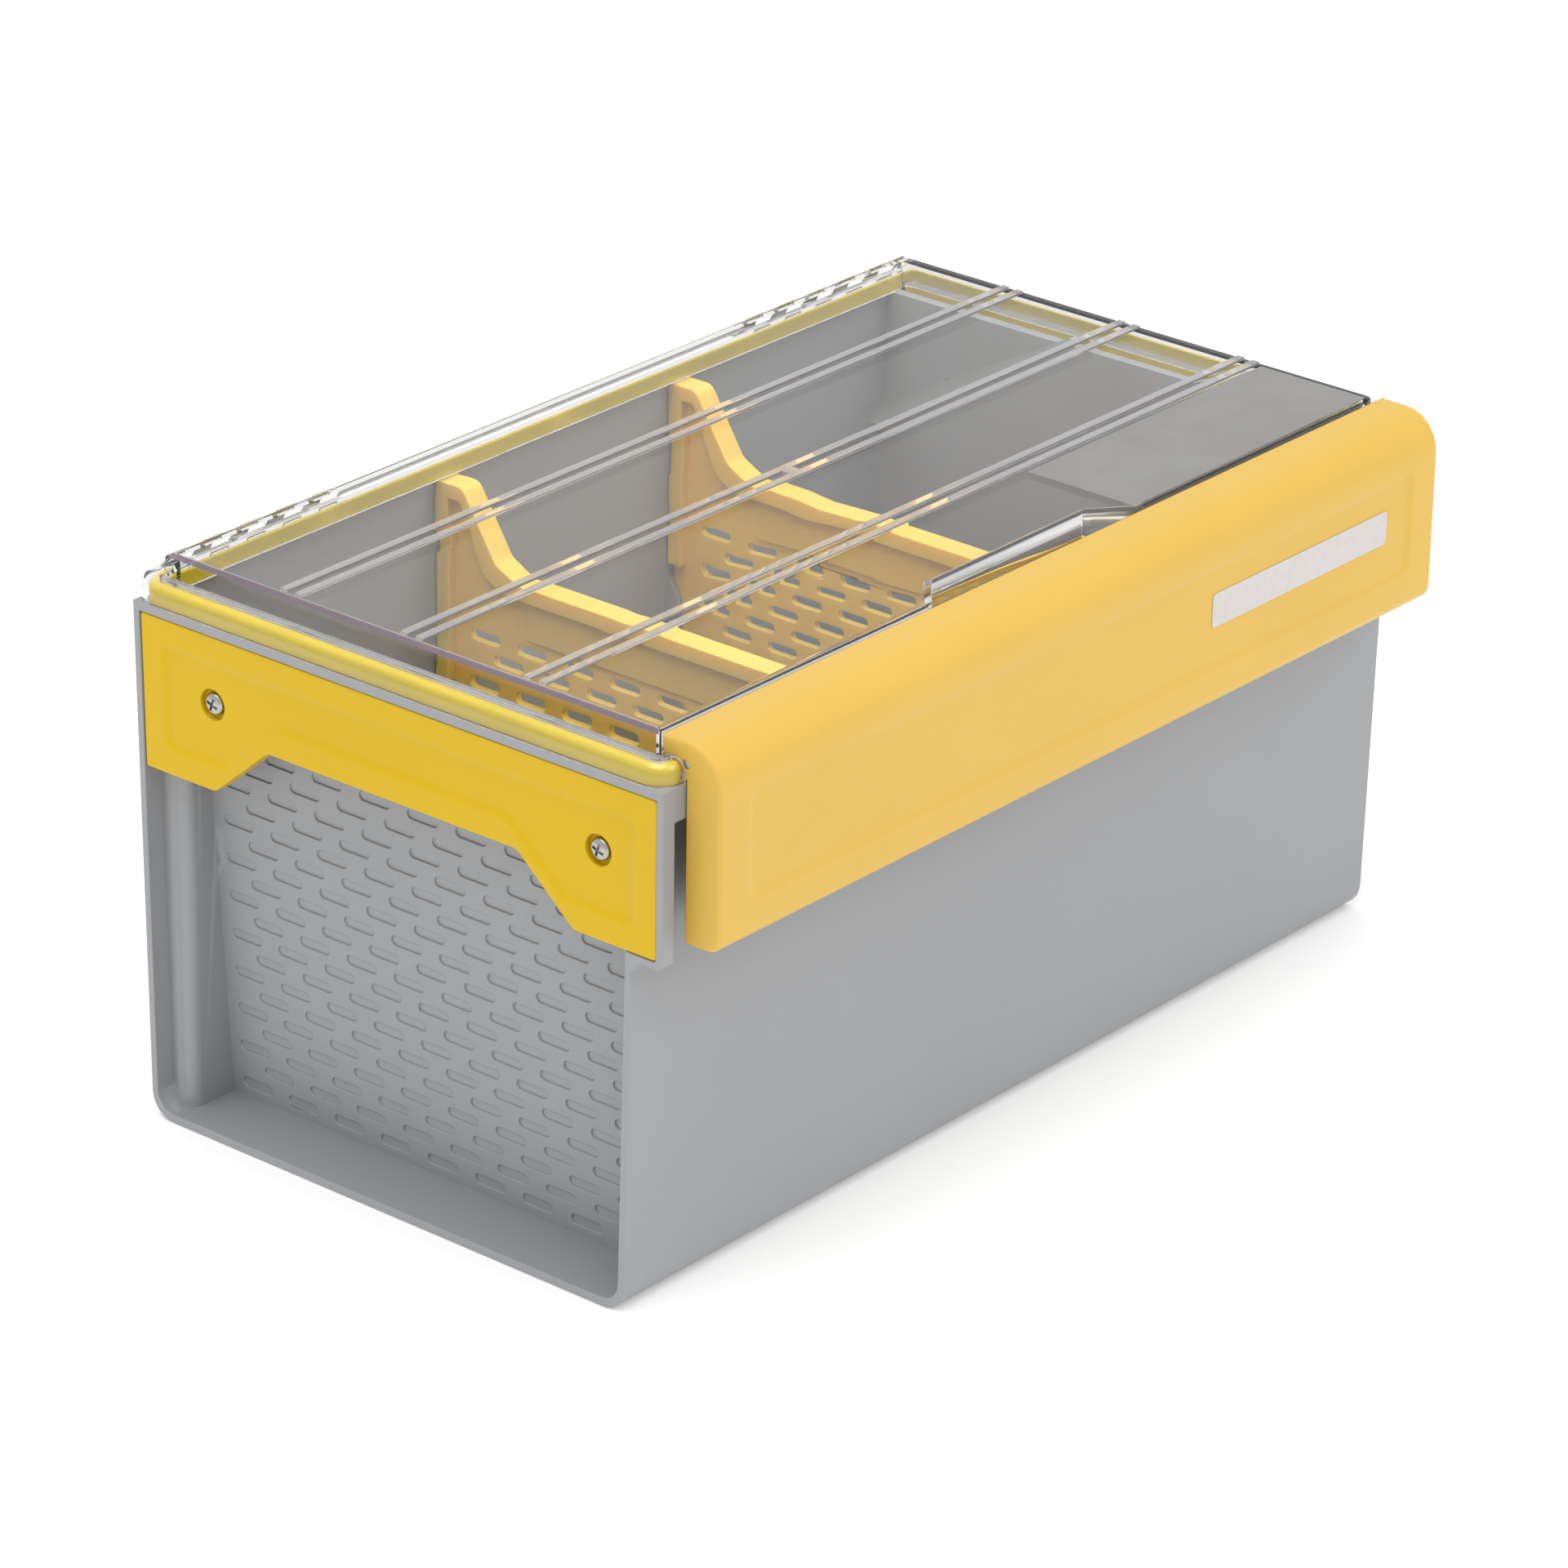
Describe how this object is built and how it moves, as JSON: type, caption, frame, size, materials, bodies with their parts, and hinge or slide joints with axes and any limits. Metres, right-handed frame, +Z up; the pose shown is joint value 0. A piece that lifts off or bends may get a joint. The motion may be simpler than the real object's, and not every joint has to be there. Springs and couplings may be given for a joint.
{
  "type": "utility box with clear lid",
  "caption": "Deep plastic utility box with a clear hinged lid, a full-length front latch, screwed-on end handles and lift-out dividers.",
  "frame": {"origin": "under the middle of the whole box, on the surface that it stands on", "axes": "+X along the long side towards the label, +Y from the latch to the hinge, +Z up"},
  "size_m": [0.3756, 0.2326, 0.1884],
  "materials": {
    "tub": "satin grey moulding",
    "clear_lid": "clear plastic",
    "gasket": "soft yellow seal",
    "latch": "satin orange-yellow moulding",
    "pin_steel": "bright drawn steel",
    "label": "white writing surface",
    "handle": "satin lemon-yellow moulding",
    "screw": "bright plated",
    "divider": "satin amber moulding"
  },
  "bodies": {
    "tub": {"tub": "tub", "hinge_pin_left": "pin_steel", "hinge_pin_right": "pin_steel", "handle_left": "handle", "handle_right": "handle", "handle_screw_left_front": "screw", "handle_screw_left_back": "screw", "handle_screw_right_front": "screw", "handle_screw_right_back": "screw", "divider_left": "divider", "divider_right": "divider"},
    "lid": {"lid": "clear_lid", "gasket": "gasket", "latch_rod": "pin_steel"},
    "latch": {"latch": "latch", "latch_label": "label"}
  },
  "joints": [
    {"name": "lid_hinge", "type": "hinge", "parent": "tub", "child": "lid", "pos_m": [0, 0.11305, 0.176], "axis": [-1, 0, 0], "range_deg": [0, 105]},
    {"name": "latch_hinge", "type": "hinge", "parent": "lid", "child": "latch", "pos_m": [0, -0.10285, 0.1803], "axis": [-1, 0, 0], "range_deg": [0, 40]}
  ]
}
